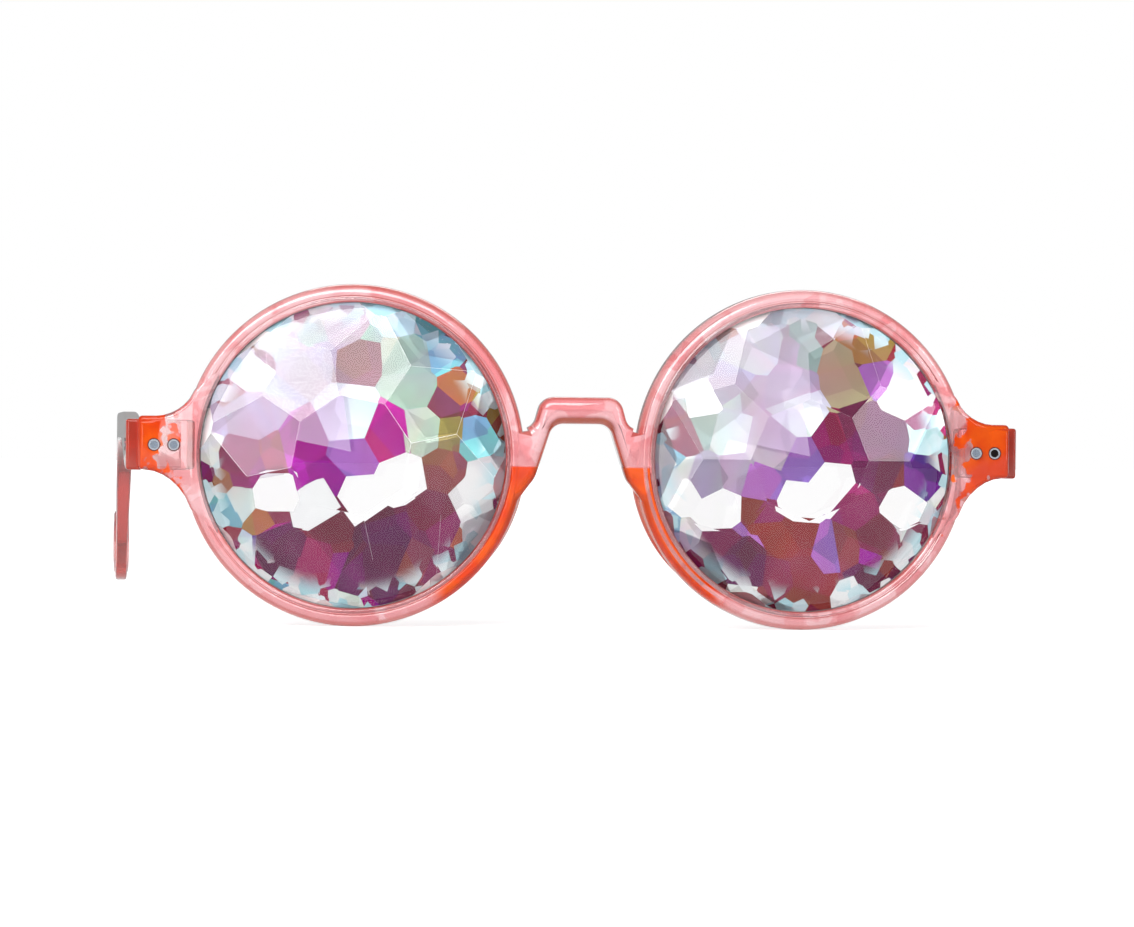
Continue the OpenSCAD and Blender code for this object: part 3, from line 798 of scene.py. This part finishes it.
def arm_glow(tree, axes):
    """Deeper and more orange at the front end, by the hinge, partly the deeper plastic and partly a painted
    glow of light piped through it.
    """
    behind_hinge = smooth_step(tree, axes["Y"], -0.063, -0.058)
    return times(tree, without(tree, behind_hinge), 0.7)


arm_plastic = coral_plastic("coral_temple_plastic", "X", arm_glow, 0.4)
right_temple = moulded("right_coral_temple", [placed(bar_part(), at_hinge), placed(eye_lip(), at_hinge)],
                       [placed(room, at_hinge) for room in temple_rooms()])
left_mesh = bmesh.new()
left_mesh.from_mesh(right_temple.data)
left_mesh.transform(flip)
bmesh.ops.reverse_faces(left_mesh, faces=left_mesh.faces[:])
left_temple = make("left_coral_temple", left_mesh, unturned)
for name, temple in (("right", right_temple), ("left", left_temple)):
    smooth(temple)
    temple.data.materials.clear()
    temple.data.materials.append(arm_plastic)
    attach(temple, name + "_arm")
    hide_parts(name + "_temple")

# The hinges and rivets: nickel-plated steel leaves with seven knuckles on a slotted screw, and dished
# rivets that hold them through the plastic. These are the imported nodes with a finish of their own.
# Radii where each rivet's head ends and where the painted shadow round it is full.
head_r, shadow_ring_r = 0.00086, 0.00092
rivet_grey = (0.66, 0.7, 0.76)


def nickel(name, colour, least, most, grain):
    """Nickel plate with fine level scratches, and a roughness that wanders from the least to the most."""
    material, tree, shader = nodes_of(name)
    pressed = new_node(tree, "Mapping", Vector=place_of(tree), Scale=(1, 1, 12)).outputs[0]
    brushed = new_node(tree, "TexNoise", Vector=pressed, Scale=grain, Detail=5).outputs["Fac"]
    dull = tuple(part * 0.72 for part in colour)
    marks = new_node(tree, "Bump", Height=brushed, Strength=0.25, Distance=0.00003).outputs["Normal"]
    fill(tree, shader, Base_Color=tone(tree, brushed, dull, colour), Metallic=1, Normal=marks,
         Roughness=between(tree, brushed, least, most))
    return material


def dished(material, across_way, places, dark_from):
    """Darkens the dish in the middle of each rivet's head, black as painted shade in the hollow past dark_from,
    and paints a shadow in the joint round the head.
    """
    tree = material.node_tree
    shader = tree.nodes["Principled BSDF"]
    axes = axes_of(tree, place_of(tree))
    across = size_of(tree, axes["X"]) if across_way == "X" else axes[across_way]
    rise = minus(tree, axes["Z"], hinge_place[2])
    nearest = figure(tree, "MINIMUM", *[distance(tree, minus(tree, across, place), rise) for place in places])
    # Painted shade: black in the hollow of each head past dark_from.
    shade = smooth_step(tree, axes["X"], dark_from, dark_from + 0.0001)
    dish = tone(tree, shade, (0.3, 0.35, 0.43), (0.02, 0.015, 0.015))
    plate = shader.inputs["Base Color"].links[0].from_socket
    headed = tone(tree, smooth_step(tree, nearest, 0.0006, 0.0007), dish, plate)
    # Painted shadow in the joint round each head.
    shadow_ring = smooth_step(tree, nearest, head_r, shadow_ring_r)
    fill(tree, shader, Base_Color=tone(tree, shadow_ring, headed, (0.16, 0.05, 0.05)))
    return material


leaf_metal = nickel("nickel_leaf", (0.74, 0.73, 0.72), 0.22, 0.42, 900)
front_rivet_metal = dished(nickel("nickel_front_rivet", rivet_grey, 0.15, 0.3, 1500), "X",
                           [x / 1000 for x in rivet_xs], 0.0678)
temple_rivet_metal = dished(nickel("nickel_temple_rivet", rivet_grey, 0.15, 0.3, 1500), "Y",
                            [hinge_place[1] + x / 1000 for x in rivets_behind], 1)
screw_metal = nickel("nickel_screw", (0.7, 0.7, 0.7), 0.18, 0.35, 1200)
finishes = (("front_rivet", front_rivet_metal), ("temple_rivet", temple_rivet_metal), ("screw", screw_metal),
            ("leaf", leaf_metal))
for name, node in frame["nodes"].items():
    finish = next((metal for word, metal in finishes if word in name), None)
    if finish:
        for place in node.material_slots:
            place.material = finish

# The studio: a camera at the photograph's angle, a white floor and surround that keep a faint shadow, and
# soft lamps overhead, in front, on the right and behind.
azimuth, elevation, roll = math.radians(-5.249), math.radians(0.235), math.radians(0.62)
camera_away = 0.94677
aim = Vector((-0.001831, seat.translation.y, seat.translation.z - 0.000987))
back_way = Vector((math.sin(azimuth) * math.cos(elevation), -math.cos(azimuth) * math.cos(elevation),
                   math.sin(elevation)))
right_way = (-back_way).cross(Vector((0, 0, 1))).normalized()
up_way = right_way.cross(-back_way)
across_way = right_way * math.cos(roll) + up_way * math.sin(roll)
upright_way = up_way * math.cos(roll) - right_way * math.sin(roll)
camera_data = bpy.data.cameras.new("camera")
camera_data.lens, camera_data.sensor_width, camera_data.sensor_fit = 183, 36, "HORIZONTAL"
camera_data.clip_start, camera_data.clip_end = 0.01, 50
camera = bpy.data.objects.new("camera", camera_data)
turned = Matrix((across_way, upright_way, back_way)).transposed().to_4x4()
camera.matrix_world = Matrix.Translation(aim + back_way * camera_away) @ turned
bpy.context.scene.collection.objects.link(camera)
bpy.context.scene.camera = camera


def white_to_the_eye(tree):
    """Full white seen directly or through the object, greyer where the object mirrors it, and no light."""
    ray = new_node(tree, "LightPath").outputs
    direct = figure(tree, "MAXIMUM", ray["Is Camera Ray"], ray["Is Transmission Ray"])
    return figure(tree, "MAXIMUM", direct, times(tree, ray["Is Glossy Ray"], 0.38))


floor_mesh = bmesh.new()
bmesh.ops.create_grid(floor_mesh, x_segments=2, y_segments=2, size=6)
floor = make("floor", floor_mesh, unturned)
floor_material, tree, shader = nodes_of("white_floor")
paper = new_node(tree, "TexNoise", Scale=4).outputs["Fac"]
axes = axes_of(tree, place_of(tree))
away = smooth_step(tree, distance(tree, axes["X"], axes["Y"]), 0.12, 0.6)
glow = times(tree, white_to_the_eye(tree), plus(tree, times(tree, away, 0.4), 0.6))
fill(tree, shader, Base_Color=tone(tree, paper, (0.86, 0.86, 0.86), (0.88, 0.88, 0.88)), Roughness=0.9,
     Specular_IOR_Level=0, Emission_Color=(1, 1, 1), Emission_Strength=glow)
floor.data.materials.append(floor_material)

world = bpy.data.worlds.new("surround")
bpy.context.scene.world = world
world.use_nodes = True
tree = world.node_tree
fill(tree, tree.nodes["Background"], Color=(1, 1, 1),
     Strength=figure(tree, "MAXIMUM", white_to_the_eye(tree), 0.35))

lit_place = Vector((0, -0.04, 0.03))
for name, place, size, power in (("overhead", (-0.28, -0.6, 0.48), (0.9, 0.35), 6.5),
                                 ("front", (-0.42, -0.68, 0.05), (0.22, 0.22), 0.7),
                                 ("right", (0.55, -0.5, 0.15), (0.1, 0.35), 0.6),
                                 ("behind", (0.1, 0.5, 0.5), (0.5, 0.1), 0.6)):
    lamp_data = bpy.data.lights.new(name, "AREA")
    lamp_data.shape, lamp_data.energy = "RECTANGLE", power
    lamp_data.size, lamp_data.size_y = size
    lamp = bpy.data.objects.new(name, lamp_data)
    lamp.location = place
    lamp.visible_transmission = False
    lamp.rotation_euler = (lit_place - lamp.location).to_track_quat("-Z", "Y").to_euler()
    bpy.context.scene.collection.objects.link(lamp)

bpy.context.scene.view_settings.view_transform = "Standard"
